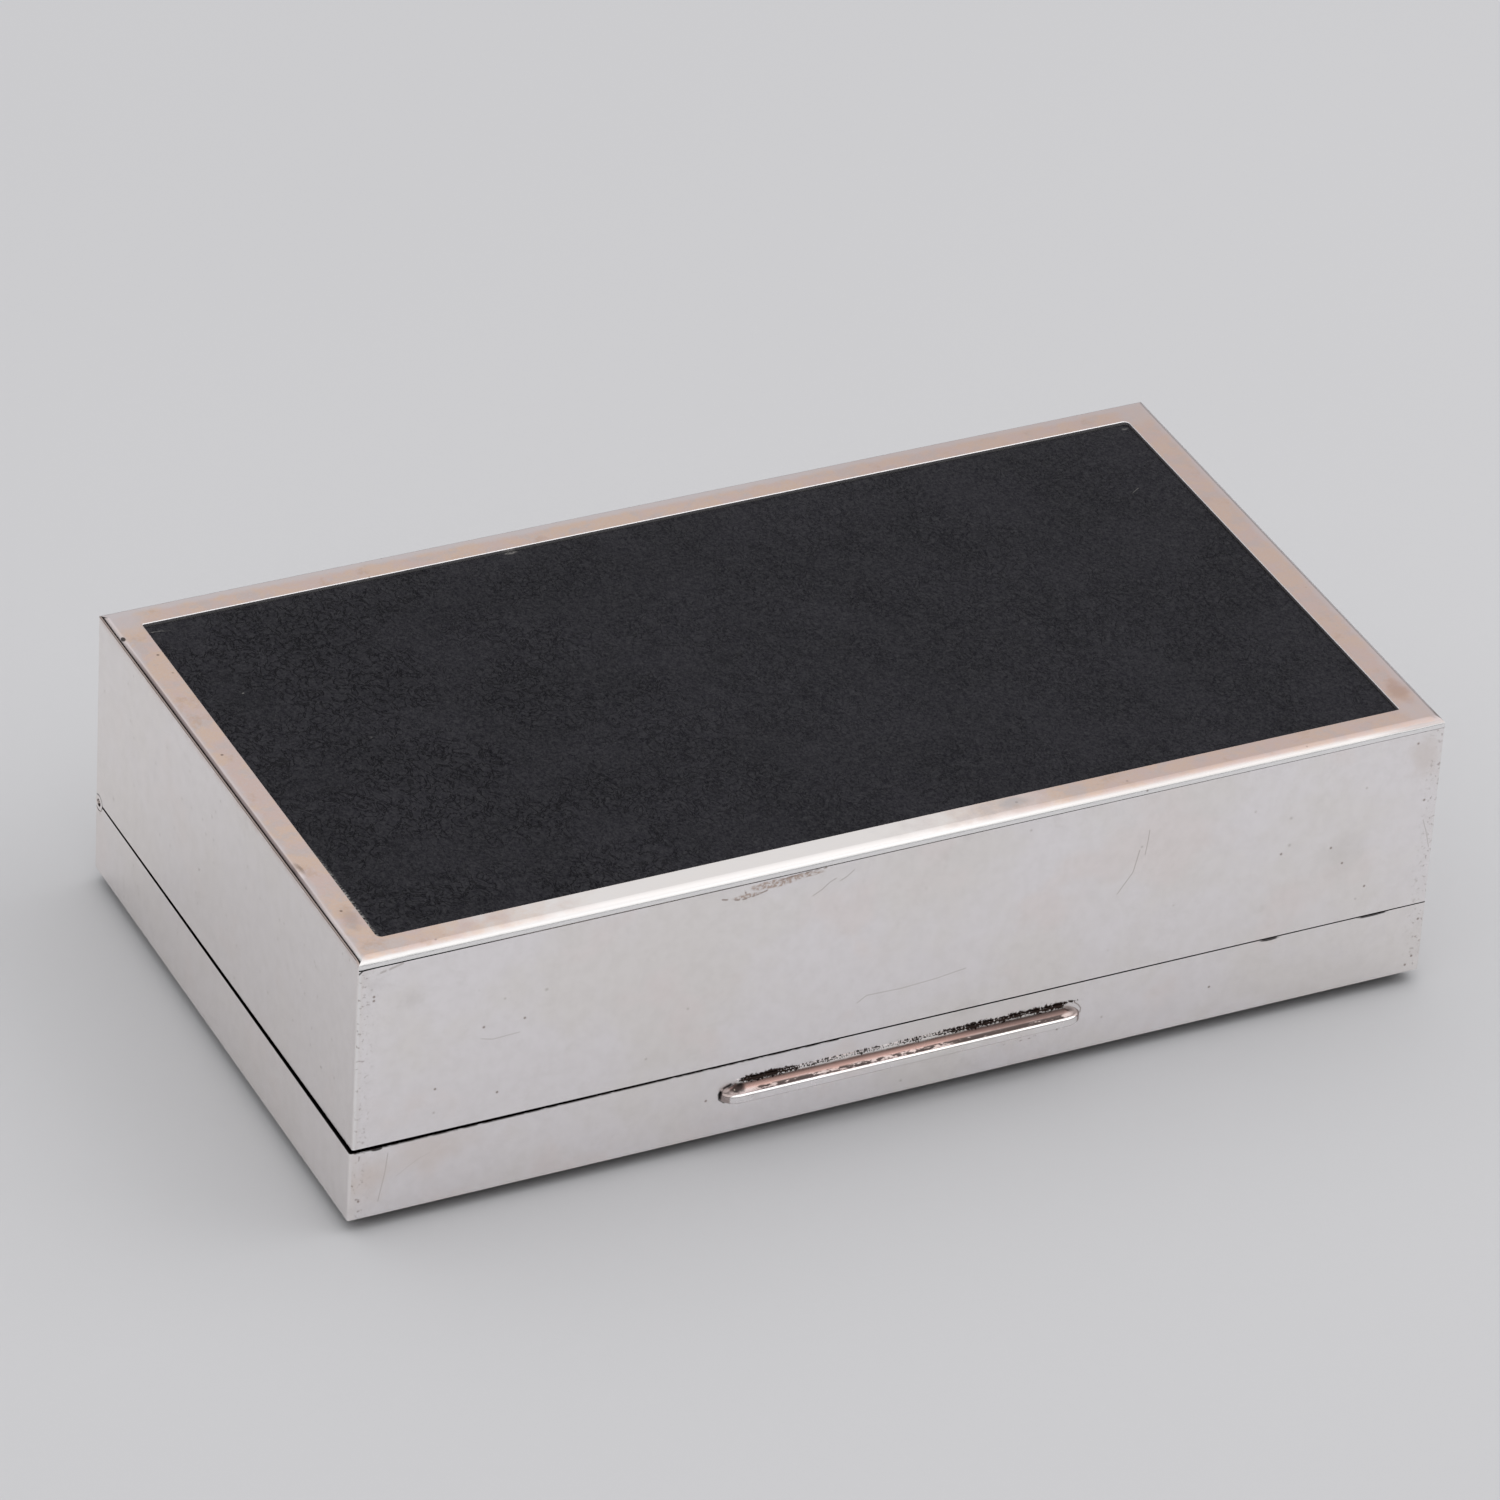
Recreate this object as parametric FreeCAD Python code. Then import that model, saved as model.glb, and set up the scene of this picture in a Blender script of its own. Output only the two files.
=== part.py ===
"""Silver table box with a leather-covered base, lying upside down on its lid.

The deep case is above, with its base and the leather facing up, and the shallow lid is below.
+X runs along the box, -Y is the front with the thumb-piece, +Z is up.
The origin is the middle of the lid's flat field, which rests on the table.
All sizes are in millimetres.
"""
import FreeCAD
import Part
import math
import os

V = FreeCAD.Vector

# Overall sizes
length = 200.0
depth = 110.8
lid_height = 16.25
case_height = 37.0
seam_gap = 0.45
seam_gap_front_left = 0.68
seam_gap_back_left = 0.45
seam_gap_middle = 0.34
seam_gap_right = 0.22
seam_middle_offset = 45.0

# Sheet metal of the case and the lid
case_wall = 1.2
lid_wall = 1.2
corner_radius = 0.4
lid_edge_radius = 0.15
lid_left_overhang = 0.45

# Lid panel: a flat field with a margin that curves up to the lid's edge
lid_crown = 2.5
lid_margin = 14.0
panel_thickness = 1.0

# Rim of the base, four mitred strips around the leather
rim_thickness = 1.4
rim_front_width = 5.8
rim_back_width = 5.1
rim_end_width = 5.85
rim_front_round = 2.0
rim_front_round_drop = 0.75
rim_back_round = 0.3
rim_left_round = 0.8
rim_left_round_drop = 0.55
rim_right_round = 1.0
rim_inner_chamfer = 0.1
opening_front_left_radius = 1.0
opening_front_right_radius = 0.3
opening_back_right_radius = 1.0
opening_back_left_radius = 0.3

# Joints of the rim: a groove under its long edges, and a gap behind the lip of the left wall
rim_groove_left = 0.25
rim_groove_right = 0.06
rim_groove_depth = 0.5
left_lip_width = 0.3
left_lip_round = 0.2
left_joint_gap = 0.3

# Base: leather in the rim's opening, glued to a board
leather_recess = 0.55
leather_clearance = 0.1
leather_edge_radius = 0.3
leather_corner_radius = 0.6
board_thickness = 2.0
board_clearance = 0.2

# Wooden lining of the case, with a lip that enters the lid
lining_thickness = 3.2
lining_clearance = 0.3
lining_lip = 3.0
lining_edge_radius = 0.8
floor_thickness = 2.0
floor_clearance = 0.15

# Flush hinge along the back
knuckle_count = 7
knuckle_radius = 1.4
knuckle_gap = 0.2
pin_radius = 0.7
pin_clearance = 0.03
pin_recess = 0.3
solder_film = 0.05
running_gap = 0.2
open_angle = 95.0
stop_clearance_angle = 0.6
bearer_height = 3.0
bearer_front = 0.6
bearer_clearance = 0.2

# Thumb-piece on the front of the lid
thumb_length = 67.0
thumb_drop = 3.35
thumb_height = 3.4
thumb_projection = 2.2
thumb_end_length = 3.2
thumb_lip_drop = 1.8
thumb_lip_width = 0.55
thumb_nose_radius = 0.45
thumb_foot_radius = 0.25
thumb_flute_back = 0.15
thumb_flute_depth = 0.45

# Every cut runs past the material by this much
overrun = 2.0

# Heights
seam = lid_height + seam_gap
top = seam + case_height
long_wall_top = top - rim_thickness
board_bottom = long_wall_top - board_thickness
floor_bottom = board_bottom - floor_thickness

# Corners of the rim's opening, from the front left round
opening_radii = (opening_front_left_radius, opening_front_right_radius,
                 opening_back_right_radius, opening_back_left_radius)

# Hinge axis: the knuckles are flush with the back and centred on the seam
hinge_y = depth / 2 - knuckle_radius
hinge_z = seam - seam_gap / 2
bearer_depth = knuckle_radius + bearer_front


def box(x_range, y_range, z_range):
    size = [high - low for low, high in (x_range, y_range, z_range)]
    return Part.makeBox(*size, V(x_range[0], y_range[0], z_range[0]))


def centred(half_x, half_y, z_range):
    return box((-half_x, half_x), (-half_y, half_y), z_range)


def edges_along_z(shape):
    upright = []
    for edge in shape.Edges:
        bounds = edge.BoundBox
        if bounds.ZLength > bounds.XLength + bounds.YLength:
            upright.append(edge)
    return upright


def edges_at_height(shape, height):
    level = []
    for edge in shape.Edges:
        bounds = edge.BoundBox
        if max(abs(bounds.ZMin - height), abs(bounds.ZMax - height)) < solder_film:
            level.append(edge)
    return level


def outline_face(edges):
    return Part.Face(Part.Wire(Part.sortEdges(edges)[0]))


def polygon(points):
    return Part.Face(Part.makePolygon(list(points) + [points[0]]))


def line(start, end):
    return Part.LineSegment(start, end).toShape()


def arc(start, middle, end):
    return Part.Arc(start, middle, end).toShape()


def bulge(start, end, sag, side):
    """The arc from start to end whose middle stands off the chord by sag towards side."""
    chord = end - start
    across = side - chord * (side.dot(chord) / chord.dot(chord))
    return arc(start, (start + end) / 2 + across.normalize() * sag, end)


def mitre_wedges(reach):
    """Four prisms that share out a rectangular ring among its sides along the corner bisectors."""
    x = length / 2 + overrun
    y = depth / 2 + overrun
    inner_x = x - reach
    inner_y = y - reach
    low = -overrun
    height = top + overrun - low
    front = [(-x, -y), (x, -y), (inner_x, -inner_y), (-inner_x, -inner_y)]
    left = [(-x, -y), (-inner_x, -inner_y), (-inner_x, inner_y), (-x, y)]
    plans = {
        "front": front,
        "back": [(px, -py) for px, py in front],
        "left": left,
        "right": [(-px, py) for px, py in left],
    }
    wedges = {}
    for side, plan in plans.items():
        face = polygon([V(px, py, low) for px, py in plan])
        wedges[side] = face.extrude(V(0, 0, height))
    return wedges


WEDGES = mitre_wedges(depth / 3)


def sides_of(ring):
    return {side: ring.common(wedge) for side, wedge in WEDGES.items()}


def above_lid_edge():
    """What is above the lid's edge: the seam is widest at the front left corner."""
    x = length / 2 + overrun
    y = depth / 2 + overrun
    middle = -seam_middle_offset
    high = top + overrun
    right_edge = [V(middle, -y, seam - seam_gap_middle), V(x, -y, seam - seam_gap_right), V(x, -y, high),
                  V(middle, -y, high)]
    right = polygon(right_edge).extrude(V(0, 2 * y, 0))
    wires = []
    for side, gap in ((-1, seam_gap_front_left), (1, seam_gap_back_left)):
        outline = [V(-x, side * y, seam - gap), V(middle, side * y, seam - seam_gap_middle),
                   V(middle, side * y, high), V(-x, side * y, high)]
        wires.append(Part.makePolygon(outline + [outline[0]]))
    return right.fuse(Part.makeLoft(wires, True, True))


def knuckle_spans():
    """Owner, start and end of each knuckle: the case has both ends and every other one between."""
    pitch = (length + knuckle_gap) / knuckle_count
    spans = []
    for index in range(knuckle_count):
        start = index * pitch - length / 2
        owner = "lid" if index % 2 else "case"
        spans.append((owner, start, start + pitch - knuckle_gap))
    return spans


def hinge_cylinder(radius, start, end):
    return Part.makeCylinder(radius, end - start, V(start, hinge_y, hinge_z), V(1, 0, 0))


def hinge_relief(owner):
    """What a wall gives up to the hinge: a stop bevel and a channel for the knuckles."""
    up = 1 if owner == "case" else -1
    reach = knuckle_radius + overrun
    rise = up * reach * math.tan(math.radians(open_angle / 2 + stop_clearance_angle))
    x = length / 2 + overrun
    face = polygon([V(-x, hinge_y, hinge_z), V(-x, hinge_y + reach, hinge_z),
                    V(-x, hinge_y + reach, hinge_z + rise)])
    cutters = [face.extrude(V(2 * x, 0, 0))]
    for index, (knuckle_owner, start, end) in enumerate(knuckle_spans()):
        room = solder_film if knuckle_owner == owner else running_gap
        low = -x if index == 0 else start - knuckle_gap / 2
        high = x if index == knuckle_count - 1 else end + knuckle_gap / 2
        cutters.append(hinge_cylinder(knuckle_radius + room, low, high))
    return cutters


CASE_RELIEF = hinge_relief("case")
LID_RELIEF = hinge_relief("lid")


def quarter_ellipse(start, corner, end):
    """A quarter of an ellipse that leaves start and reaches end along the sides of their corner."""
    curve = Part.BezierCurve()
    curve.setPoles([start, corner, end])
    curve.setWeight(2, math.sqrt(1 / 2))
    return curve.toShape()


def rounded_slab(low_edge, high_edge, start, outward):
    """A slab as thick as the rim between two edges: how far out, and the width and drop of the rounding."""
    edges = []
    for sign, (half, width, drop) in ((-1, low_edge), (1, high_edge)):

        def point(inset, height):
            return start + outward * sign * (half - inset) + V(0, 0, height)

        edges += [
            line(point(half, top), point(width, top)),
            quarter_ellipse(point(width, top), point(0, top), point(0, top - drop)),
            line(point(0, top - drop), point(0, long_wall_top)),
            line(point(0, long_wall_top), point(half, long_wall_top)),
        ]
    return outline_face(edges).extrude(start * -2)


def across_box(left_edge, right_edge):
    return rounded_slab(left_edge, right_edge, V(0, -depth / 2, 0), V(1, 0, 0))


def base_slab():
    """The whole base above the long walls, rounded along its edges and corners."""
    half_x = length / 2
    half_y = depth / 2
    slab = centred(half_x, half_y, (long_wall_top, top))
    slab = slab.makeFillet(corner_radius, edges_along_z(slab))
    left = (half_x, left_lip_round, left_lip_round)
    right = (half_x, rim_right_round, rim_right_round)
    front = (half_y, rim_front_round, rim_front_round_drop)
    back = (half_y, rim_back_round, rim_back_round)
    slab = slab.common(across_box(left, right))
    return slab.common(rounded_slab(front, back, V(-half_x, 0, 0), V(0, 1, 0)))


BASE_SLAB = base_slab()


def rim_groove(side):
    """The joint under one long edge of the rim, taller at the left end than at the right."""
    x = length / 2 + overrun
    y = side * (depth / 2 + overrun)
    face = polygon([V(-x, y, long_wall_top - rim_groove_left), V(x, y, long_wall_top - rim_groove_right),
                    V(x, y, top), V(-x, y, top)])
    return face.extrude(V(0, -side * (overrun + rim_groove_depth), 0))


def case_walls():
    outer = centred(length / 2, depth / 2, (seam, long_wall_top))
    outer = outer.makeFillet(corner_radius, edges_along_z(outer))
    inner = centred(length / 2 - case_wall, depth / 2 - case_wall, (seam - overrun, top + overrun))
    walls = sides_of(outer.cut(inner).cut(CASE_RELIEF))
    walls["front"] = walls["front"].cut(rim_groove(-1))
    walls["back"] = walls["back"].cut(rim_groove(1))
    lip_zone = box((-length, left_lip_width - length / 2), (-depth, depth), (long_wall_top, top))
    lip = BASE_SLAB.common(WEDGES["left"]).common(lip_zone)
    walls["left"] = walls["left"].fuse(lip).removeSplitter()
    return {"case_%s_wall" % side: wall for side, wall in walls.items()}


def lid_walls():
    half_x = length / 2
    half_y = depth / 2
    plan = [V(-half_x - lid_left_overhang, -half_y, lid_crown), V(half_x, -half_y, lid_crown),
            V(half_x, half_y, lid_crown), V(-half_x, half_y, lid_crown)]
    outer = polygon(plan).extrude(V(0, 0, seam - lid_crown))
    outer = outer.makeFillet(corner_radius, edges_along_z(outer))
    outer = outer.makeFillet(lid_edge_radius, edges_at_height(outer, lid_crown))
    inner = centred(length / 2 - lid_wall, depth / 2 - lid_wall, (lid_crown - overrun, seam + overrun))
    ring = outer.cut(inner).cut(above_lid_edge()).cut(LID_RELIEF)
    return {"lid_%s_wall" % side: wall for side, wall in sides_of(ring).items()}


def cushion(half_x, half_y, lift, reach, ceiling):
    """The space above a flat field whose margins curve up along arcs, up to a ceiling."""
    run = lid_margin
    radius = (run * run + lid_crown * lid_crown) / (2 * lid_crown)
    inside = radius - lift

    def section(half, along, outward):
        flat = half - run
        edge = half + reach
        angle = math.asin((edge - flat) / inside)
        rise = radius - inside * math.cos(angle)
        bend = radius - inside * math.cos(angle / 2)
        across = flat + inside * math.sin(angle / 2)

        def point(sideways, height):
            return along + outward * sideways + V(0, 0, height)

        edges = [
            line(point(-flat, lift), point(flat, lift)),
            arc(point(flat, lift), point(across, bend), point(edge, rise)),
            line(point(edge, rise), point(edge, ceiling)),
            line(point(edge, ceiling), point(-edge, ceiling)),
            line(point(-edge, ceiling), point(-edge, rise)),
            arc(point(-edge, rise), point(-across, bend), point(-flat, lift)),
        ]
        return outline_face(edges).extrude(along * -2)

    over_x = section(half_x, V(0, -half_y - reach, 0), V(1, 0, 0))
    over_y = section(half_y, V(-half_x - reach, 0, 0), V(0, 1, 0))
    return over_x.common(over_y)


def lid_panel():
    half_x = length / 2 - lid_wall
    half_y = depth / 2 - lid_wall
    ceiling = lid_crown + 2 * panel_thickness
    sheet = cushion(half_x, half_y, 0, 0, ceiling)
    hollow = cushion(half_x, half_y, panel_thickness, overrun, ceiling + overrun)
    return {"lid_panel": sheet.cut(hollow)}


def thumb_piece():
    """A ledge with rounded ends and a cove behind its lip, for the finger to catch."""

    def point(outward, downward):
        return V(0, -outward, -downward)

    def quarter_round(outward, downward, radius, sign):
        """A rounded corner in front, below its centre or, with sign -1, above it."""
        share = radius * math.sqrt(1 / 2)
        return arc(point(outward, downward + sign * radius), point(outward + share, downward + sign * share),
                   point(outward + radius, downward))

    front = thumb_projection
    foot_back = front - thumb_foot_radius
    foot_level = thumb_height - thumb_foot_radius
    nose_back = front - thumb_nose_radius
    nose_level = thumb_lip_drop + thumb_nose_radius
    lip = point(front - thumb_lip_width, thumb_lip_drop)
    flute_top = point(thumb_flute_back, 0)
    section = outline_face([
        line(point(0, 0), point(0, thumb_height)),
        line(point(0, thumb_height), point(foot_back, thumb_height)),
        quarter_round(foot_back, foot_level, thumb_foot_radius, 1),
        line(point(front, foot_level), point(front, nose_level)),
        quarter_round(nose_back, nose_level, thumb_nose_radius, -1),
        line(point(nose_back, thumb_lip_drop), lip),
        bulge(lip, flute_top, thumb_flute_depth, point(0, thumb_height) - lip),
        line(flute_top, point(0, 0)),
    ])
    straight = thumb_length - 2 * thumb_end_length
    ledge = section.extrude(V(straight, 0, 0))
    stretch = FreeCAD.Matrix()
    stretch.scale(thumb_end_length / thumb_projection, 1, 1)
    for offset, turn in ((0, -90), (straight, 90)):
        end = section.revolve(V(0, 0, 0), V(0, 0, 1), turn).transformGeometry(stretch)
        end.translate(V(offset, 0, 0))
        ledge = ledge.fuse(end)
    ledge.translate(V(-straight / 2, -depth / 2, lid_height - thumb_drop))
    return {"thumb_piece": ledge}


def opening_wire(margin, radii, height):
    """The outline of the rim's opening made wider by a margin, its corners from the front left round."""
    half_x = length / 2 - rim_end_width + margin
    front = rim_front_width - depth / 2 - margin
    back = depth / 2 - rim_back_width + margin
    corners = [V(-half_x, front, height), V(half_x, front, height), V(half_x, back, height),
               V(-half_x, back, height)]
    headings = [V(1, 0, 0), V(0, 1, 0), V(-1, 0, 0), V(0, -1, 0)]
    edges = []
    ends = []
    for index, (corner, radius) in enumerate(zip(corners, radii)):
        start = corner - headings[index - 1] * radius
        end = corner + headings[index] * radius
        centre = start + headings[index] * radius
        edges.append(arc(start, centre + (corner - centre) * math.sqrt(1 / 2), end))
        ends.append((start, end))
    for index in range(len(ends)):
        edges.append(line(ends[index - 1][1], ends[index][0]))
    return Part.Wire(Part.sortEdges(edges)[0])


def opening_prism(margin, radii, low, high):
    return Part.Face(opening_wire(margin, radii, low)).extrude(V(0, 0, high - low))


def base_rim():
    flare = 2 * rim_inner_chamfer
    wide_radii = [radius + flare for radius in opening_radii]
    narrow = opening_wire(0, opening_radii, top - rim_inner_chamfer)
    wide = opening_wire(flare, wide_radii, top + rim_inner_chamfer)
    opening = opening_prism(0, opening_radii, long_wall_top - overrun, top + overrun)
    opening = opening.fuse(Part.makeLoft([narrow, wide], True, True))
    strips = sides_of(BASE_SLAB.cut(opening))
    left = (length / 2 - left_lip_width - left_joint_gap, rim_left_round, rim_left_round_drop)
    right = (length, rim_left_round, rim_left_round_drop)
    strips["left"] = strips["left"].common(across_box(left, right))
    return {"base_rim_%s" % side: strip for side, strip in strips.items()}


def base_panel():
    board = centred(length / 2 - case_wall - board_clearance, depth / 2 - case_wall - board_clearance,
                    (board_bottom, long_wall_top))
    leather_top = top - leather_recess
    radii = [max(radius - leather_clearance, leather_corner_radius) for radius in opening_radii]
    leather = opening_prism(-leather_clearance, radii, long_wall_top, leather_top)
    leather = leather.makeFillet(leather_edge_radius, edges_at_height(leather, leather_top))
    return {"base_board": board, "base_leather": leather}


def lining():
    half_x = length / 2 - case_wall - lining_clearance
    half_y = depth / 2 - case_wall - lining_clearance
    low = seam - lining_lip
    ring = centred(half_x, half_y, (low, board_bottom))
    inner_x = half_x - lining_thickness
    inner_y = half_y - lining_thickness
    ring = ring.cut(centred(inner_x, inner_y, (low - overrun, top)))
    ring = ring.makeFillet(lining_edge_radius, edges_at_height(ring, low))
    rebate = box((-length, length), (hinge_y - bearer_depth - bearer_clearance, depth),
                 (low - overrun, seam + bearer_height + bearer_clearance))
    sides = sides_of(ring.cut(rebate))
    pieces = {"lining_%s" % side: piece for side, piece in sides.items()}
    pieces["lining_floor"] = centred(inner_x - floor_clearance, inner_y - floor_clearance,
                                     (floor_bottom, board_bottom))
    return pieces


def hinge():
    pieces = {}
    counts = {"case": 0, "lid": 0}
    for owner, start, end in knuckle_spans():
        counts[owner] += 1
        tube = hinge_cylinder(knuckle_radius, start, end)
        bore = hinge_cylinder(pin_radius + pin_clearance, start - overrun, end + overrun)
        pieces["%s_knuckle_%d" % (owner, counts[owner])] = tube.cut(bore)
    pieces["hinge_pin"] = hinge_cylinder(pin_radius, pin_recess - length / 2, length / 2 - pin_recess)
    back = (hinge_y - bearer_depth, depth / 2 - case_wall)
    half_x = length / 2 - case_wall
    case_bar = box((-half_x, half_x), back, (seam, seam + bearer_height))
    pieces["case_hinge_bearer"] = case_bar.cut(CASE_RELIEF)
    back = (hinge_y - bearer_depth, depth / 2 - lid_wall)
    half_x = length / 2 - lid_wall
    lid_bar = box((-half_x, half_x), back, (lid_height - bearer_height, seam))
    pieces["lid_hinge_bearer"] = lid_bar.cut(above_lid_edge()).cut(LID_RELIEF)
    return pieces


def export(pieces):
    os.makedirs("parts", exist_ok=True)
    for name, shape in sorted(pieces.items()):
        solids = shape.Solids
        if len(solids) != 1 or not solids[0].isValid():
            raise ValueError("%s is not one valid solid: %d" % (name, len(solids)))
        solids[0].exportStep("parts/%s.step" % name)
        bounds = shape.BoundBox
        print("%-20s %8.1f mm3  z %.2f to %.2f" % (name, shape.Volume, bounds.ZMin, bounds.ZMax))


PIECES = {}
for make in (lid_panel, lid_walls, thumb_piece, case_walls, base_rim, base_panel, lining, hinge):
    PIECES.update(make())
export(PIECES)
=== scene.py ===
"""Looks of the table box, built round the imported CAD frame: worn silver, leather, cedar, studio light."""
import math

import bpy
from mathutils import Matrix, Vector, noise


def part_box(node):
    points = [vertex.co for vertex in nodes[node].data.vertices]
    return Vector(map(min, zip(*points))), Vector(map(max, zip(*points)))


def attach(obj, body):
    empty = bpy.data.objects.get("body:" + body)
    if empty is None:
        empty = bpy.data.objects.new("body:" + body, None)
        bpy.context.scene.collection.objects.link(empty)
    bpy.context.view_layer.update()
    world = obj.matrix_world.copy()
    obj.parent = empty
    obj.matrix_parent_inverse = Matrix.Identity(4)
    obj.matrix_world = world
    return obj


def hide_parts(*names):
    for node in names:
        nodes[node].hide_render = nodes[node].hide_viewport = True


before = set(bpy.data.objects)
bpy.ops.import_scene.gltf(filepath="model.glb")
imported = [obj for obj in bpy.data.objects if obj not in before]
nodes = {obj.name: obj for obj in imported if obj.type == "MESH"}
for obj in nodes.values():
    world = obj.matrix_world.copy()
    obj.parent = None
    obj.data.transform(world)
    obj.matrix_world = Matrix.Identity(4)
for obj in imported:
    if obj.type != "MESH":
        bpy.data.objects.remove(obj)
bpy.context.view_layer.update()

MM = 0.001

# Camera, from a fit of the part's corners to those in the photograph.
IMAGE_PX = 1500
FOCAL_PX = 9052.9
SENSOR_MM = 36.0
EYE = (-0.59634, -1.14115, 0.88218)
AZIMUTH = 27.469
ELEVATION = 33.287
ROLL = 3.607
CLIP_NEAR = 0.05
CLIP_FAR = 60.0

# Floor and light: a soft sky, brightest overhead, and one large lamp on the right, a little in front.
FLOOR_SIDE = 24.0
FLOOR_COLOUR = (0.597, 0.596, 0.612)
FLOOR_FADE = 0.985
SKY_COLOUR = (1.0, 1.0, 1.0, 1.0)
SKY_HORIZON = 0.05
SKY_ZENITH = 1.285
SKY_GLOWS = (
    # direction, inner and outer angle in degrees, added strength
    ((-0.60, 0.66, 0.45), 10.0, 40.0, 0.15),
)
KEY_SIDE = 1.0
KEY_POWER = 2.6
KEY_PLACE = (0.85, -0.22, 1.05)
KEY_TARGET = (0.0, 0.0, 0.0)

# Faces and levels of the box, in millimetres. Marks on the walls have their heights from the lid's
# lower edge.
FRONT = -55.4
BACK = 55.4
LEFT = -100.0
RIGHT = 100.0
LID_FOOT = 2.5
SEAM = 16.7
HINGE_Y = 54.0
HINGE_Z = 16.475
THUMB_TOP = 12.9
RIM_JOINT = 52.3
RIM_TOP = 53.7
LEATHER_TOP = 53.15

# Leather, from the CAD solid that it replaces. The corners run from the front left round. The middle of
# the grain lies LEATHER_SINK below the solid's top.
LEATHER_STEP = 0.5 * MM
LEATHER_ROUND = 0.18 * MM
LEATHER_CORNERS = {(-1, -1): 0.9 * MM, (1, -1): 0.6 * MM, (1, 1): 0.9 * MM, (-1, 1): 0.6 * MM}
GRAIN_HEIGHT = 0.10 * MM
CREASE_HEIGHT = 0.15 * MM
LEATHER_SINK = 0.06 * MM


def on_front(x, height):
    return (x * MM, FRONT * MM, (LID_FOOT + height) * MM)


def on_left(y, height):
    return (LEFT * MM, y * MM, (LID_FOOT + height) * MM)


def on_rim(x, y):
    return (x * MM, y * MM, RIM_TOP * MM)


def on_leather(x, y):
    return (x * MM, y * MM, LEATHER_TOP * MM)


class Graph:
    """The node tree of a material or a world, with short calls for the nodes that they share."""

    def __init__(self, owner):
        owner.use_nodes = True
        self.owner = owner
        self.tree = owner.node_tree
        coordinates = self.tree.nodes.new("ShaderNodeTexCoord")
        self.place = coordinates.outputs["Object"]
        self.facing = coordinates.outputs["Normal"]
        self.sky = coordinates.outputs["Generated"]

    def put(self, socket, value):
        if isinstance(value, bpy.types.NodeSocket):
            self.tree.links.new(value, socket)
        else:
            socket.default_value = value

    def node(self, kind, inputs=(), **settings):
        made = self.tree.nodes.new(kind)
        for name, value in settings.items():
            setattr(made, name, value)
        for name, value in inputs:
            self.put(made.inputs[name], value)
        return made

    def math(self, operation, a, b=0.0, clamp=False):
        return self.node(
            "ShaderNodeMath", [(0, a), (1, b)], operation=operation, use_clamp=clamp
        ).outputs[0]

    def vector(self, operation, a, b=(0.0, 0.0, 0.0), result="Vector"):
        return self.node(
            "ShaderNodeVectorMath", [(0, a), (1, b)], operation=operation
        ).outputs[result]

    def axis(self, name, of=None):
        return self.node("ShaderNodeSeparateXYZ", [(0, of or self.place)]).outputs[name]

    def stretched(self, stretch, offset=(0.0, 0.0, 0.0), turn=0.0):
        return self.node(
            "ShaderNodeMapping",
            [
                ("Vector", self.place),
                ("Location", offset),
                ("Rotation", (0.0, turn, 0.0)),
                ("Scale", stretch),
            ],
        ).outputs[0]

    def shifted(self, offset):
        """The place moved, so that one noise doesn't repeat another."""
        return self.stretched((1.0, 1.0, 1.0), offset)

    def noise(self, scale, detail=2.0, rough=0.5, at=None, bend=0.0):
        return self.node(
            "ShaderNodeTexNoise",
            [
                ("Vector", at or self.place),
                ("Scale", scale),
                ("Detail", detail),
                ("Roughness", rough),
                ("Distortion", bend),
            ],
        ).outputs["Fac"]

    def ramp(self, value, low, high, to_low=0.0, to_high=1.0):
        return self.node(
            "ShaderNodeMapRange",
            [
                ("Value", value),
                ("From Min", low),
                ("From Max", high),
                ("To Min", to_low),
                ("To Max", to_high),
            ],
            interpolation_type="SMOOTHSTEP",
        ).outputs[0]

    def band(self, value, low, high, soft, level=1.0):
        """The level between low and high, fading to 0 over soft on either side."""
        rise = self.ramp(value, low - soft, low + soft, 0.0, level)
        fall = self.ramp(value, high + soft, high - soft)
        return self.both(rise, fall)

    def mix(self, factor, a, b):
        """A Mix node of colours. Its sockets share their names, so they are found by number."""
        made = self.node("ShaderNodeMix", data_type="RGBA")
        self.put(made.inputs[0], factor)
        self.put(made.inputs[6], a)
        self.put(made.inputs[7], b)
        return made.outputs[2]

    def stain(self, colour, mask, strength, tint):
        return self.mix(self.math("MULTIPLY", mask, strength), colour, tint)

    def both(self, a, b):
        return self.math("MULTIPLY", a, b)

    def most(self, masks):
        result = masks[0]
        for mask in masks[1:]:
            result = self.math("MAXIMUM", result, mask)
        return result

    def specks(self, scale, radius, share):
        """Round spots: one in each Voronoi cell, in the given share of the cells."""
        cells = self.node(
            "ShaderNodeTexVoronoi", [("Vector", self.place), ("Scale", scale)]
        )
        chosen = self.axis("X", cells.outputs["Color"])
        there = self.math("LESS_THAN", chosen, share)
        spot = self.ramp(cells.outputs["Distance"], radius, 0.3 * radius)
        return self.both(there, spot)

    def spot(self, centre, radii, edge=0.5, ragged=0.0, grain=400.0):
        """1 in an ellipsoid with radii in mm, fading out over its outer part; ragged breaks its edge up."""
        away = self.vector("SUBTRACT", self.place, centre)
        away = self.vector("DIVIDE", away, tuple(r * MM for r in radii))
        distance = self.vector("LENGTH", away, result="Value")
        if ragged:
            shift = self.math("SUBTRACT", self.noise(grain, 4.0, 0.6), 0.5)
            shift = self.math("MULTIPLY", shift, 2.0 * ragged)
            distance = self.math("ADD", distance, shift)
        return self.ramp(distance, 1.0, 1.0 - edge)

    def dots(self, centres, radius):
        return self.most([self.spot(c, (radius,) * 3, 0.7) for c in centres])

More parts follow.
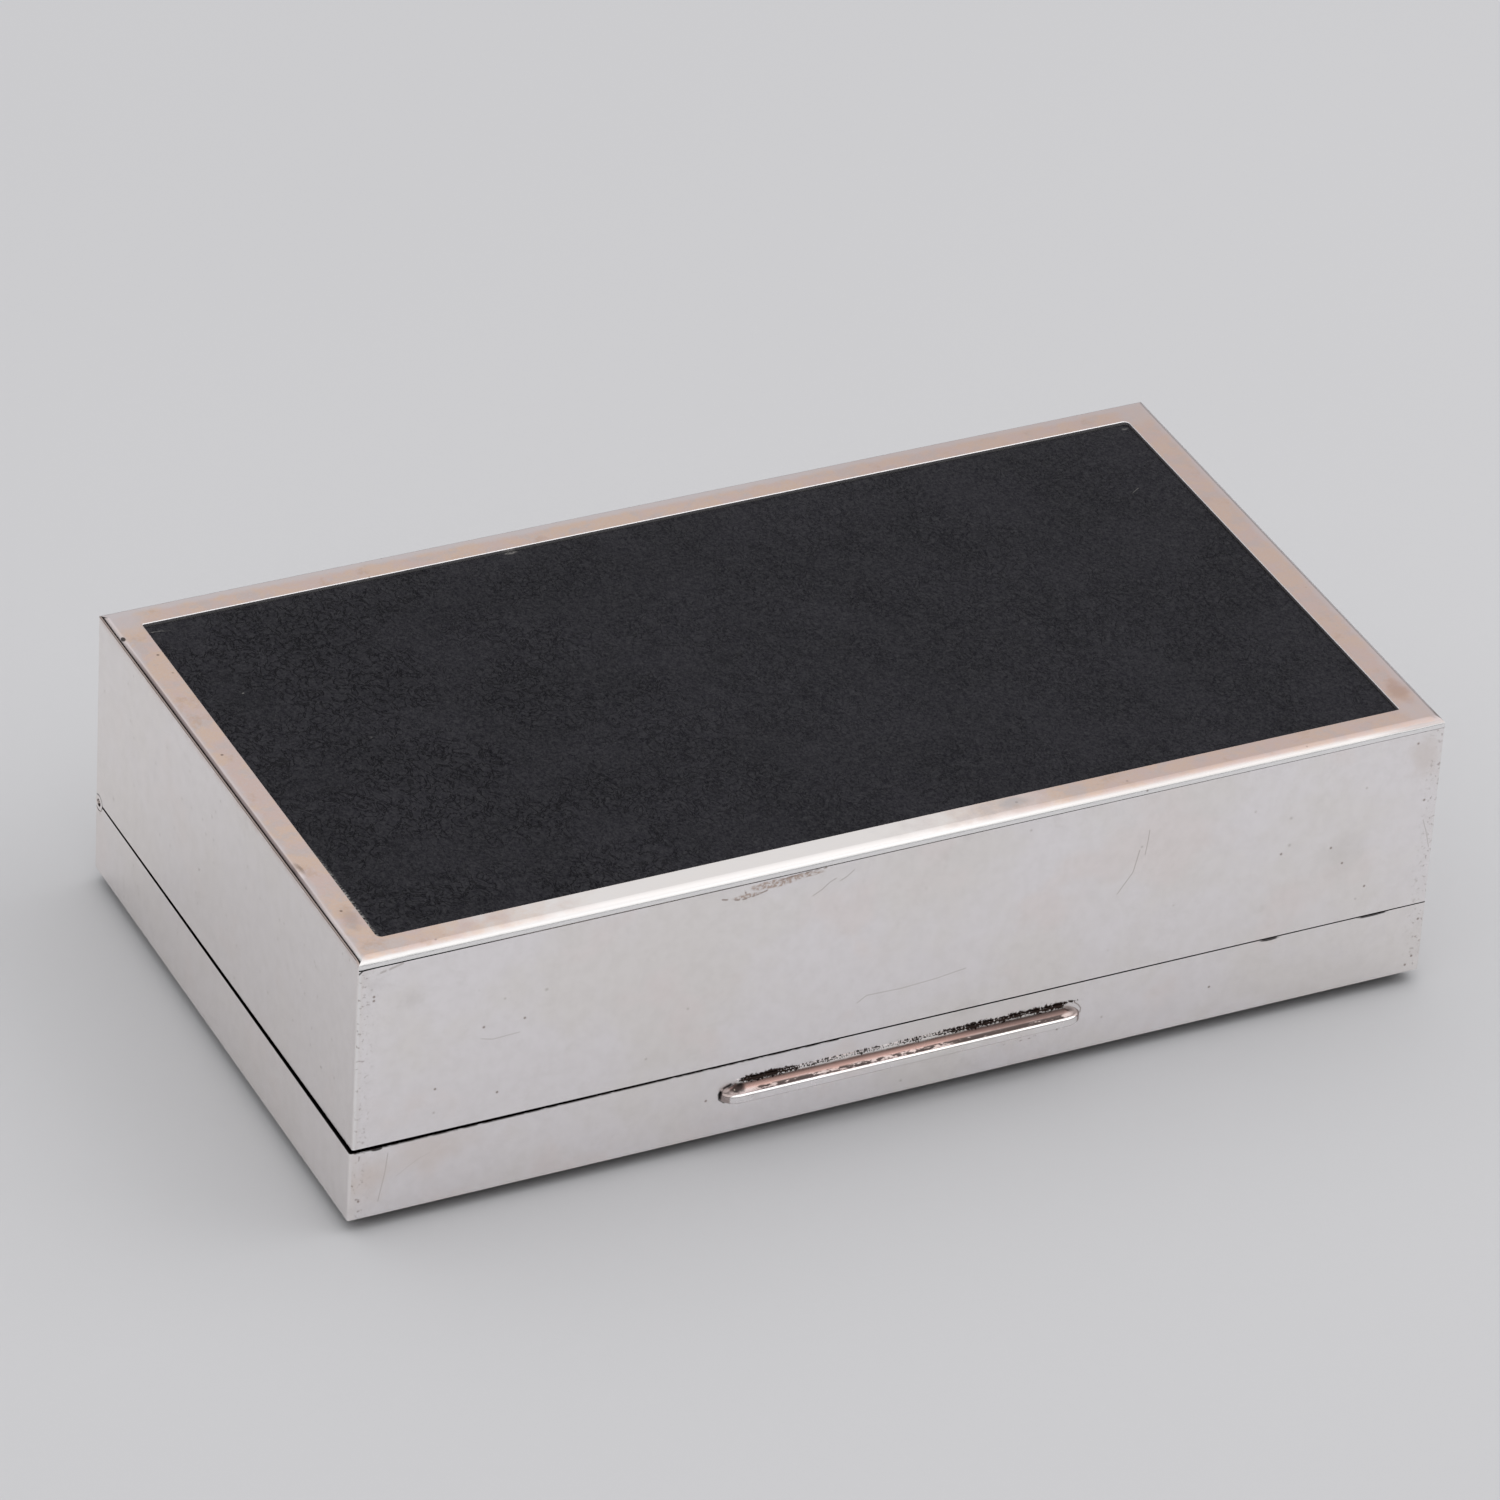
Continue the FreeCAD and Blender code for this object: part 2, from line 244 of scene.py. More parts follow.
    def stroke(self, points, width):
        """1 on the line through the points, fading to 0 at half the width, in mm, from it."""
        parts = []
        for start, end in zip(points, points[1:]):
            start, end = Vector(start), Vector(end)
            run = end - start
            away = self.vector("SUBTRACT", self.place, tuple(start))
            along = self.vector("DOT_PRODUCT", away, tuple(run), result="Value")
            share = self.math("DIVIDE", along, run.length_squared, clamp=True)
            nearest = self.node(
                "ShaderNodeVectorMath",
                [(0, tuple(run)), ("Scale", share)],
                operation="SCALE",
            ).outputs["Vector"]
            gap = self.vector("DISTANCE", away, nearest, result="Value")
            parts.append(self.ramp(gap, 0.5 * width * MM, 0.1 * width * MM))
        return self.most(parts)

    def bump(self, height, distance, strength=1.0, normal=None):
        made = self.node(
            "ShaderNodeBump",
            [("Strength", strength), ("Distance", distance), ("Height", height)],
        )
        if normal is not None:
            self.put(made.inputs["Normal"], normal)
        return made.outputs[0]

    def finish(self, **sockets):
        names = {
            "colour": "Base Color",
            "metal": "Metallic",
            "rough": "Roughness",
            "normal": "Normal",
            "specular": "Specular IOR Level",
        }
        shader = self.tree.nodes["Principled BSDF"]
        for name, value in sockets.items():
            self.put(shader.inputs[names[name]], value)
        return self.owner


def new_graph(name):
    return Graph(bpy.data.materials.new(name))


# Silver, its dirt, and the painted shade of its gaps and of the lid's underside
SILVER = (0.966, 0.931, 0.938, 1.0)
SILVER_GREY = (0.941, 0.902, 0.880, 1.0)
SILVER_PINK = (0.956, 0.886, 0.866, 1.0)
SILVER_WARM = (0.920, 0.868, 0.835, 1.0)
DULL = (0.42, 0.37, 0.33, 1.0)
BROWN = (0.22, 0.15, 0.12, 1.0)
STAIN = (0.53, 0.41, 0.345, 1.0)
BLACK = (0.022, 0.018, 0.018, 1.0)
GRIME = (0.030, 0.017, 0.013, 1.0)
# Painted shade: near-black for the underside of the lid's border, where the gap under the lid is in shadow
UNDERSIDE_SHADE = (0.075, 0.062, 0.055, 1.0)

# Marks on the walls
PATCH_EDGE = (0.34, 0.26, 0.22, 1.0)
CORNER_TAN = (0.70, 0.58, 0.50, 1.0)
CORNER_BRIGHT = (0.97, 0.95, 0.94, 1.0)
LID_TAN = (0.80, 0.66, 0.56, 1.0)
LEFT_TARNISH = (0.72, 0.58, 0.52, 1.0)
LIP_BROWN = (0.26, 0.20, 0.18, 1.0)

# Cove of the thumb-piece
COVE_CREAM = (0.97, 0.92, 0.86, 1.0)
COVE_FOOT = (0.40, 0.32, 0.30, 1.0)
COVE_ROSE = (0.40, 0.235, 0.20, 1.0)
COVE_DARK_ROSE = (0.17, 0.095, 0.08, 1.0)
COVE_SMEAR = (0.05, 0.038, 0.035, 1.0)
COVE_GLINT = (0.85, 0.75, 0.62, 1.0)

# Rim: its flat top, and its roundings
RIM_TAN = (0.725, 0.550, 0.455, 1.0)
RIM_PINK = (0.690, 0.540, 0.500, 1.0)
RIM_LILAC = (0.675, 0.620, 0.632, 1.0)
RIM_GREY = (0.615, 0.535, 0.520, 1.0)
RIM_BROWN = (0.600, 0.430, 0.335, 1.0)
RIM_BARE = (0.930, 0.900, 0.890, 1.0)
RIM_RIGHT = (0.60, 0.455, 0.425, 1.0)
RIM_SMEAR_BROWN = (0.47, 0.30, 0.235, 1.0)
RIM_SMEAR_GREY = (0.54, 0.52, 0.53, 1.0)
ROUNDING = (0.82, 0.785, 0.80, 1.0)
ROUNDING_FRONT = (0.72, 0.70, 0.695, 1.0)
ROUNDING_FRONT_RIGHT = (0.62, 0.59, 0.58, 1.0)
ROUNDING_CORNER = (0.42, 0.37, 0.36, 1.0)
ROUNDING_LEFT = (0.58, 0.51, 0.50, 1.0)
ROUNDING_LEFT_DARK = (0.27, 0.215, 0.21, 1.0)
ROUNDING_FOOT = (0.98, 0.965, 0.96, 1.0)

# Leather and wood
LEATHER_DARK = (0.0066, 0.0061, 0.0098, 1.0)
LEATHER_LIGHT = (0.0104, 0.0096, 0.0142, 1.0)
LEATHER_TIPS = (0.022, 0.0212, 0.0255, 1.0)
# Painted shade for the leather's creases
LEATHER_CREASE_SHADE = (0.0025, 0.0024, 0.003, 1.0)
LEATHER_SCUFF = (0.22, 0.21, 0.20, 1.0)
LEATHER_FIBRES = (0.55, 0.53, 0.50, 1.0)
CEDAR_LIGHT = (0.36, 0.19, 0.10, 1.0)
CEDAR_DARK = (0.22, 0.10, 0.05, 1.0)
BOARD_LIGHT = (0.45, 0.33, 0.20, 1.0)
BOARD_DARK = (0.33, 0.22, 0.12, 1.0)

# Roughness and sheen: the ends of their ranges. The rim's go from its roundings to its flat top.
SILVER_ROUGH = (0.20, 0.27)
THUMB_ROUGH = (0.25, 0.32)
RIM_ROUGH = (0.42, 0.31)
LEATHER_ROUGH = (0.42, 0.56)
LEATHER_SHEEN = (0.08, 0.29)
WOOD_ROUGH = (0.48, 0.62)
FLOOR_ROUGH = 0.85
FLOOR_SHEEN = 0.2

# Heights of the bumps
WAVE_BUMP = 0.10 * MM
DENT_BUMP = 0.12 * MM
RIM_BUMP = 0.003 * MM
PEBBLE_BUMP = 0.06 * MM
GRAIN_BUMP = 0.05 * MM
CREASE_BUMP = 0.12 * MM
FINE_BUMP = 0.02 * MM
PORE_BUMP = 0.03 * MM
PAPER_BUMP = 0.02 * MM
WOOD_STRETCH = 0.06


def worn_silver(g):
    """Colour of the plain silver: cool, grey and pinkish clouds, with faint spots."""
    colour = g.mix(g.ramp(g.noise(34.0, 4.0, 0.6), 0.42, 0.62), SILVER, SILVER_GREY)
    pink = g.noise(48.0, 3.0, 0.55, g.shifted((0.3, 0.7, 0.2)))
    colour = g.mix(g.ramp(pink, 0.54, 0.66, 0.0, 0.7), colour, SILVER_PINK)
    side = g.ramp(g.axis("X"), -98.6 * MM, -99.6 * MM)
    colour = g.stain(colour, side, 0.5, SILVER_WARM)
    smudges = g.noise(150.0, 5.0, 0.65, g.shifted((0.5, 0.1, 0.9)))
    colour = g.stain(colour, g.ramp(smudges, 0.60, 0.72), 0.10, DULL)
    haze = g.noise(360.0, 6.0, 0.75, g.shifted((0.2, 0.4, 0.6)))
    colour = g.stain(colour, g.ramp(haze, 0.36, 0.68), 0.10, DULL)
    colour = g.stain(colour, g.specks(210.0, 0.10, 0.10), 0.4, DULL)
    return g.stain(colour, g.specks(420.0, 0.16, 0.06), 0.4, DULL)


def gap_and_underside_shade(g, colour):
    """Painted shade: black on the flat faces inside the seam and inside the rim's joint at the left, and
    near-black on the underside of the lid's border, which darkens the shadow in the gap under the lid.
    """
    height = g.axis("Z")
    level = g.math("ABSOLUTE", g.axis("Z", g.facing))
    turned = g.ramp(level, 0.5, 0.8)
    # Painted shade: the flat faces inside the seam, and inside the rim's joint at the left, are painted
    # black
    seam = g.band(height, (SEAM - 1.2) * MM, (SEAM + 0.2) * MM, 0.05 * MM)
    joint = g.band(height, (RIM_JOINT - 0.45) * MM, (RIM_JOINT + 0.05) * MM, 0.02 * MM)
    joint = g.both(joint, g.ramp(g.axis("X"), -66.0 * MM, -92.0 * MM))
    colour = g.stain(colour, g.both(turned, g.most([seam, joint])), 0.97, BLACK)
    # Painted shade: the downward faces of the lid's lowest border are painted near-black, to darken the
    # shadow under its edge
    down = g.ramp(g.axis("Z", g.facing), -0.5, -0.85)
    from_side = g.math("SUBTRACT", RIGHT * MM, g.math("ABSOLUTE", g.axis("X")))
    from_end = g.math("SUBTRACT", BACK * MM, g.math("ABSOLUTE", g.axis("Y")))
    border = g.ramp(g.math("MINIMUM", from_side, from_end), 6.0 * MM, 3.5 * MM)
    foot = g.ramp(height, (LID_FOOT + 0.4) * MM, (LID_FOOT + 0.3) * MM)
    return g.stain(colour, g.both(g.both(down, foot), border), 0.94, UNDERSIDE_SHADE)


def silver(name, marks=None):
    g = new_graph(name)
    colour = worn_silver(g)
    if marks:
        colour = marks(g, colour)
    colour = gap_and_underside_shade(g, colour)
    rough = g.ramp(g.noise(60.0, 3.0, 0.5), 0.3, 0.7, *SILVER_ROUGH)
    wave = g.noise(14.0, 1.0, 0.4)
    return g.finish(colour=colour, rough=rough, metal=1.0, normal=g.bump(wave, WAVE_BUMP))


def corner_pits(g, colour, strength):
    """Brown pits along the soldered upright corners of the front."""
    near = g.ramp(g.math("ABSOLUTE", g.axis("X")), 95.5 * MM, 99.6 * MM)
    pits = g.ramp(g.noise(1300.0, 3.0, 0.6), 0.57, 0.66)
    return g.stain(colour, g.both(near, pits), strength, BROWN)


def case_front_marks(g, colour):
    """Scratches, spots, the stain under the rim, and clouds of tarnish near the corners."""
    scratches = [
        ([(44.2, 42.3), (44.0, 39.8), (43.7, 37.4)], 0.55),
        ([(42.6, 38.6), (41.7, 34.4), (39.0, 30.6)], 0.6),
        ([(-8.9, 20.5), (-7.2, 21.6), (-0.6, 21.4), (5.8, 21.8), (11.2, 22.5)], 0.45),
        ([(-77.7, 30.8), (-75.6, 30.2), (-70.8, 30.4)], 0.4),
        ([(97.6, 31.5), (98.6, 28.5), (99.3, 25.5)], 0.4),
        ([(-18.6, 44.4), (-17.0, 45.2), (-15.6, 46.4), (-14.4, 46.9)], 0.6),
        ([(-13.6, 46.2), (-12.4, 46.8), (-11.2, 47.8)], 0.6),
    ]
    for points, strength in scratches:
        line = g.stroke([on_front(x, z) for x, z in points], 0.30)
        colour = g.stain(colour, line, strength, DULL)
    places = [(-77.3, 33.0), (-70.0, 33.0), (-74.4, 19.3), (-85.6, 22.8), (-97.1, 44.0), (-97.1, 43.2),
              (70.2, 31.1), (79.9, 30.0), (82.4, 26.3), (87.3, 20.4), (97.4, 35.6), (95.0, 47.6)]
    colour = g.stain(colour, g.dots([on_front(x, z) for x, z in places], 0.36), 0.7, BROWN)
    ragged = g.noise(900.0, 5.0, 0.65)
    patch = [
        g.spot(on_front(-25.5, 48.6), (5.2, 1.2, 0.95), 0.35, 0.35, 500.0),
        g.spot(on_front(-21.0, 48.9), (4.4, 1.2, 0.60), 0.35, 0.35, 500.0),
        g.spot(on_front(-31.0, 47.4), (3.0, 1.2, 0.50), 0.35, 0.40, 500.0),
    ]
    lace = g.ramp(g.noise(1500.0, 4.0, 0.65), 0.42, 0.56, 0.15, 1.0)
    patch = g.both(g.most(patch), lace)
    colour = g.stain(colour, patch, 0.9, STAIN)
    outlines = [
        [(-35.2, 47.7), (-33.4, 47.2), (-31.6, 46.8), (-29.6, 47.0), (-27.0, 47.6)],
        [(-25.0, 49.0), (-22.0, 49.3), (-19.4, 49.4), (-16.4, 49.5)],
        [(-31.2, 48.4), (-30.9, 47.9)],
    ]
    for points in outlines:
        line = g.stroke([on_front(x, z) for x, z in points], 0.5)
        broken = g.ramp(ragged, 0.42, 0.52)
        colour = g.stain(colour, g.both(line, broken), 0.8, PATCH_EDGE)
    cloud = g.spot(on_front(82.6, 28.3), (7.0, 2.0, 7.0), 0.8, 0.5, 250.0)
    colour = g.stain(colour, cloud, 0.12, DULL)
    cloud = g.spot(on_front(-90.5, 42.0), (3.2, 2.0, 2.6), 0.95, 0.9, 450.0)
    colour = g.stain(colour, cloud, 0.16, DULL)
    cloud = g.spot(on_front(96.5, 44.5), (5.0, 2.0, 5.5), 0.95, 0.7, 350.0)
    colour = g.stain(colour, cloud, 0.3, CORNER_TAN)
    corner = g.ramp(g.axis("X"), -99.3 * MM, -99.62 * MM)
    colour = g.stain(colour, corner, 0.8, CORNER_BRIGHT)
    smear = g.stroke([on_front(-96.4, 48.4), on_front(-94.0, 48.9), on_front(-92.2, 49.4)], 0.7)
    colour = g.stain(colour, g.both(smear, g.ramp(ragged, 0.38, 0.55)), 0.55, DULL)
    tick = g.stroke([on_front(-99.9, 49.0), on_front(-99.2, 49.6), on_front(-97.0, 49.7)], 0.5)
    colour = g.stain(colour, tick, 0.9, BLACK)
    return corner_pits(g, colour, 0.5)


def lid_front_marks(g, colour):
    """Scratches, tan tarnish at the left, grime along the upper edge and round the thumb-piece."""
    line = g.stroke([on_front(-93.6, 12.1), on_front(-94.0, 8.4), on_front(-95.1, 2.8)], 0.28)
    colour = g.stain(colour, line, 0.5, DULL)
    line = g.stroke([on_front(-92.0, 7.0), on_front(-88.0, 9.6), on_front(-86.0, 10.2)], 0.22)
    colour = g.stain(colour, line, 0.25, DULL)
    places = [(58.6, 6.7), (-36.0, 7.5), (98.3, 3.2), (97.2, 1.6), (98.8, 10.8), (-98.6, 3.6)]
    colour = g.stain(colour, g.dots([on_front(x, z) for x, z in places], 0.36), 0.7, BROWN)
    tan = g.spot(on_front(-97.5, 7.5), (5.0, 2.0, 6.5), 0.95, 0.6, 250.0)
    colour = g.stain(colour, tan, 0.4, LID_TAN)
    tan = g.spot(on_front(-86.0, 10.5), (15.0, 2.0, 5.5), 0.95, 0.7, 160.0)
    colour = g.stain(colour, tan, 0.3, LID_TAN)
    blobs = [g.spot(on_front(69.5, 13.8), (2.2, 1.0, 0.35), 0.4, 0.3, 900.0),
             g.spot(on_front(89.5, 13.9), (3.4, 1.0, 0.35), 0.4, 0.3, 900.0),
             g.spot(on_front(-95.6, 13.35), (1.2, 1.0, 0.35), 0.4, 0.3, 900.0)]
    colour = g.stain(colour, g.most(blobs), 0.9, BLACK)
    edge = g.stroke([on_front(-99.5, 13.5), on_front(-45.0, 13.85), on_front(-12.0, 13.9)], 0.6)
    worn = g.ramp(g.noise(700.0, 4.0, 0.6), 0.36, 0.52, 0.35, 1.0)
    colour = g.stain(colour, g.both(edge, worn), 0.85, GRIME)
    colour = g.stain(colour, thumb_grime(g, 0.0, 0.5), 0.99, GRIME)
    around = [(-31.6, 9.7), (-32.9, 9.2), (-33.6, 8.2), (-33.5, 7.2), (-32.6, 6.4)]
    ring = g.stroke([on_front(x, z) for x, z in around], 0.8)
    broken = g.ramp(g.noise(1600.0, 3.0, 0.6), 0.34, 0.46)
    colour = g.stain(colour, g.both(ring, broken), 0.92, BLACK)
    around = [(32.6, 10.1), (33.4, 9.4), (33.9, 8.6), (33.8, 7.8)]
    ring = g.stroke([on_front(x, z) for x, z in around], 0.4)
    colour = g.stain(colour, ring, 0.6, BROWN)
    under = g.stroke([on_front(18.5, 4.7), on_front(24.0, 4.9), on_front(31.0, 5.4)], 0.9)
    chips = g.ramp(g.noise(1300.0, 3.0, 0.6), 0.56, 0.62)
    colour = g.stain(colour, g.both(under, chips), 0.75, BROWN)
    return corner_pits(g, colour, 0.55)


def thumb_grime(g, low, reach):
    """Black specks where the thumb-piece meets the lid: dense in two stretches, thin between."""
    x = g.axis("X")
    left = g.band(x, -30.0 * MM, -19.0 * MM, 1.5 * MM)
    right = g.band(x, 7.0 * MM, 32.0 * MM, 3.0 * MM)
    thin = g.band(x, -31.0 * MM, 33.0 * MM, 0.6 * MM, 0.36)
    share = g.most([left, right, thin])
    height = g.math("SUBTRACT", g.axis("Z"), (THUMB_TOP + low) * MM)
    height = g.math("DIVIDE", g.math("ABSOLUTE", height), reach * MM)
    rough = g.math("SUBTRACT", g.noise(3400.0, 3.0, 0.65, g.stretched((1.0, 1.0, 0.7))), 0.5)
    drift = g.math("SUBTRACT", g.noise(420.0, 3.0, 0.6), 0.5)
    chance = g.math("SUBTRACT", share, height)
    chance = g.math("ADD", chance, g.math("MULTIPLY", drift, 2.2))
    chance = g.math("ADD", chance, g.math("MULTIPLY", rough, 3.6))
    return g.both(g.ramp(chance, 0.20, 0.34), g.ramp(share, 0.0, 0.2))


def thumb_silver():
    """The cove has a pink streak, black behind the lip and specks along its top. The front is bare."""
    g = new_graph("thumb_silver")
    height = g.axis("Z")
    x = g.axis("X")
    colour = worn_silver(g)
    wobble = g.math("MULTIPLY", g.math("SUBTRACT", g.noise(300.0, 4.0, 0.6), 0.5), 0.5 * MM)
    level = g.math("ADD", height, wobble)
    cove = g.ramp(g.axis("Y"), -57.12 * MM, -57.0 * MM)
    cream = g.band(level, (THUMB_TOP - 1.0) * MM, (THUMB_TOP - 0.1) * MM, 0.15 * MM)
    colour = g.stain(colour, g.both(cove, cream), 0.4, COVE_CREAM)
    low = g.ramp(level, (THUMB_TOP - 1.2) * MM, (THUMB_TOP - 1.55) * MM)
    colour = g.stain(colour, g.both(cove, low), 0.85, COVE_FOOT)
    pink = g.band(level, (THUMB_TOP - 1.55) * MM, (THUMB_TOP - 0.70) * MM, 0.2 * MM)
    rose = g.mix(g.ramp(x, 4.0 * MM, 22.0 * MM), COVE_ROSE, COVE_DARK_ROSE)
    colour = g.mix(g.math("MULTIPLY", g.both(cove, pink), 0.92), colour, rose)
    colour = g.stain(colour, thumb_grime(g, -0.25, 0.5), 0.99, GRIME)
    behind = g.band(g.axis("Y"), -57.1 * MM, -56.3 * MM, 0.15 * MM)
    flute = g.band(height, (THUMB_TOP - 2.0) * MM, (THUMB_TOP - 1.05) * MM, 0.15 * MM)
    thick = g.band(x, 8.0 * MM, 30.0 * MM, 3.0 * MM)
    patch = g.band(x, -24.0 * MM, -17.0 * MM, 1.5 * MM)
    reach = g.most([thick, patch, g.band(x, -28.0 * MM, 8.0 * MM, 2.0 * MM, 0.62)])
    streaks = g.math("SUBTRACT", g.noise(1800.0, 4.0, 0.65, g.stretched((0.4, 1.0, 1.0))), 0.5)
    chance = g.math("ADD", g.math("MULTIPLY", reach, 0.75), g.math("MULTIPLY", streaks, 2.6))
    smear = g.both(g.both(behind, flute), g.ramp(chance, 0.26, 0.56))
    colour = g.stain(colour, smear, 0.95, COVE_SMEAR)
    pocket = g.spot((-30.6 * MM, -56.2 * MM, (THUMB_TOP - 1.1) * MM), (2.2, 1.2, 1.0), 0.5, 0.35, 900.0)
    end = g.spot((-33.6 * MM, -55.6 * MM, (THUMB_TOP - 2.0) * MM), (0.7, 0.6, 1.6), 0.5, 0.3, 900.0)
    colour = g.stain(colour, g.most([pocket, end]), 0.93, BLACK)
    glint = g.spot((-31.2 * MM, -56.3 * MM, (THUMB_TOP - 1.3) * MM), (0.35, 0.5, 0.3), 0.5)
    colour = g.stain(colour, glint, 0.9, COVE_GLINT)
    foot = g.band(height, (THUMB_TOP - 3.5) * MM, (THUMB_TOP - 3.22) * MM, 0.05 * MM)
    colour = g.stain(colour, foot, 0.6, DULL)
    rough = g.ramp(g.noise(150.0, 3.0, 0.5), 0.3, 0.7, *THUMB_ROUGH)
    return g.finish(colour=colour, rough=rough, metal=1.0)


def left_marks(g, colour):
    """Spots, tarnish under the rim, painted shade in black on the lip's inner face in the joint's gap, and
    the ring round the hinge's end.
    """
    places = [(-33.5, 5.5), (10.0, 28.0), (-42.0, 22.0)]
    colour = g.stain(colour, g.dots([on_left(y, z) for y, z in places], 0.36), 0.6, BROWN)
    near = g.ramp(g.axis("Z"), 52.2 * MM, 53.6 * MM)
    tarnish = g.ramp(g.noise(260.0, 4.0, 0.6), 0.35, 0.60, 0.3, 1.0)
    colour = g.stain(colour, g.both(near, tarnish), 0.55, LEFT_TARNISH)
    # Painted shade: the lip's inward face, inside the joint's gap, is painted black
    inward = g.ramp(g.axis("X", g.facing), 0.3, 0.7)
    lip_gap_shade = g.both(inward, g.ramp(g.axis("Z"), 52.0 * MM, 52.3 * MM))
    colour = g.stain(colour, lip_gap_shade, 0.95, BLACK)
    upward = g.ramp(g.axis("Z", g.facing), 0.15, 0.6)
    lip_top = g.both(upward, g.ramp(g.axis("Z"), 52.6 * MM, 53.0 * MM))
    colour = g.stain(colour, lip_top, 0.85, LIP_BROWN)
    away = g.vector("SUBTRACT", g.place, (LEFT * MM, HINGE_Y * MM, HINGE_Z * MM))
    distance = g.vector("LENGTH", away, result="Value")
    ring = g.band(distance, 1.40 * MM, 1.62 * MM, 0.06 * MM)
    return g.stain(colour, ring, 0.9, BLACK)


def rim_silver():
    """Tan and pink tarnish, greyer at the outer edges, bare in the middle of the front; paler roundings."""
    g = new_graph("rim_silver")
    x, y = g.axis("X"), g.axis("Y")
    flat = g.ramp(g.axis("Z", g.facing), 0.93, 0.998)
    patches = g.noise(170.0, 5.0, 0.62, bend=0.5)
    patina = g.mix(g.ramp(patches, 0.40, 0.58), RIM_PINK, RIM_TAN)
    greys = g.noise(240.0, 5.0, 0.65, g.shifted((0.9, 0.2, 0.5)))
    patina = g.mix(g.ramp(greys, 0.50, 0.64, 0.0, 0.7), patina, RIM_GREY)
    browns = g.noise(210.0, 5.0, 0.65, g.shifted((0.1, 0.6, 0.8)))
    patina = g.mix(g.ramp(browns, 0.56, 0.70, 0.0, 0.6), patina, RIM_BROWN)
    grit = g.ramp(g.noise(2200.0, 3.0, 0.6), 0.35, 0.65, -0.12, 0.12)
    patina = g.mix(g.ramp(grit, 0.0, 0.12, 0.0, 0.25), patina, RIM_LILAC)
    from_side = g.math("SUBTRACT", RIGHT * MM, g.math("ABSOLUTE", x))
    from_end = g.math("SUBTRACT", BACK * MM, y)
    inward = g.math("MINIMUM", from_side, from_end)
    inward = g.math("ADD", inward, g.math("MULTIPLY", g.math("SUBTRACT", patches, 0.5), 2.5 * MM))
    edge = g.ramp(inward, 2.3 * MM, 0.9 * MM)
    patina = g.stain(patina, edge, 0.85, RIM_LILAC)
    corners = [(-97.0, 52.5), (96.5, 52.0), (97.0, -51.0)]
    corner = g.most([g.spot(on_rim(a, b), (5.0, 5.0, 4.0), 0.7, 0.4, 300.0) for a, b in corners])
    patina = g.stain(patina, corner, 0.6, RIM_LILAC)
    front = g.ramp(y, -48.5 * MM, -50.0 * MM)
    ragged = g.math("ADD", x, g.math("MULTIPLY", g.math("SUBTRACT", greys, 0.5), 40.0 * MM))
    middle = g.both(front, g.band(ragged, -72.0 * MM, 13.0 * MM, 20.0 * MM))
    patina = g.stain(patina, middle, 0.92, RIM_BARE)
    patina = g.stain(patina, g.ramp(x, 15.0 * MM, 60.0 * MM), 0.3, RIM_RIGHT)
    at_front = g.ramp(y, -50.0 * MM, -52.5 * MM)
    bare = g.mix(at_front, ROUNDING, ROUNDING_FRONT)
    front_right = g.both(at_front, g.ramp(x, 5.0 * MM, 45.0 * MM))
    bare = g.stain(bare, front_right, 1.0, ROUNDING_FRONT_RIGHT)
    left = g.ramp(x, -97.6 * MM, -98.4 * MM)
    behind_corner = g.both(left, g.ramp(y, -54.0 * MM, -50.0 * MM))
    bare = g.stain(bare, behind_corner, 0.85, ROUNDING_LEFT)
    along_left = g.both(left, g.band(y, -36.0 * MM, 42.0 * MM, 8.0 * MM))
    bare = g.stain(bare, along_left, 0.88, ROUNDING_LEFT_DARK)
    right_corner = g.both(at_front, g.ramp(x, 84.0 * MM, 95.0 * MM))
    bare = g.stain(bare, right_corner, 0.8, ROUNDING_CORNER)
    facing_front = g.ramp(g.axis("Y", g.facing), -0.60, -0.85)
    bare = g.stain(bare, facing_front, 1.0, ROUNDING_FOOT)
    colour = g.mix(flat, bare, patina)
    colour = g.stain(colour, g.specks(420.0, 0.14, 0.08), 0.5, BROWN)
    places = [(-95.3, 40.5), (-97.0, 8.5), (-96.7, -40.6), (20.4, -51.6)]
    colour = g.stain(colour, g.dots([on_rim(a, b) for a, b in places], 0.38), 0.85, BROWN)
    blob = g.spot(on_rim(-98.9, 47.1), (0.5, 0.75, 1.0), 0.4, 0.3, 900.0)
    colour = g.stain(colour, blob, 0.92, BLACK)
    smear = g.spot(on_rim(-96.2, -43.0), (2.2, 5.0, 1.0), 0.8, 0.5, 500.0)
    colour = g.stain(colour, smear, 0.26, BROWN)
    smear = g.spot(on_rim(96.8, -44.5), (2.6, 5.0, 1.0), 0.8, 0.5, 400.0)
    colour = g.stain(colour, smear, 0.5, RIM_SMEAR_BROWN)
    smear = g.spot(on_rim(20.0, -51.4), (5.0, 2.0, 1.0), 0.8, 0.5, 400.0)
    colour = g.stain(colour, smear, 0.6, RIM_SMEAR_GREY)
    # Painted shade: black on the rim's underside, except the front strip right of x = -66 mm, and on its
    # outer face in the left joint's gap
    downward = g.ramp(g.axis("Z", g.facing), -0.3, -0.7)
    where = g.most([g.ramp(x, -66.0 * MM, -92.0 * MM), g.ramp(y, -52.0 * MM, -48.0 * MM)])
    under = g.both(downward, where)
    outward = g.ramp(g.axis("X", g.facing), -0.8, -0.97)
    in_gap = g.both(outward, g.ramp(x, -99.0 * MM, -99.2 * MM))
    colour = g.stain(colour, g.most([under, in_gap]), 0.97, BLACK)
    rough = g.ramp(flat, 0.0, 1.0, *RIM_ROUGH)
    dent = g.spot(on_rim(-98.5, -27.5), (0.9, 2.6, 1.0), 0.9)
    normal = g.bump(dent, DENT_BUMP)
    fine = g.noise(900.0, 4.0, 0.6)
    normal = g.bump(fine, RIM_BUMP, normal=normal)
    return g.finish(colour=colour, rough=rough, metal=1.0, normal=normal)


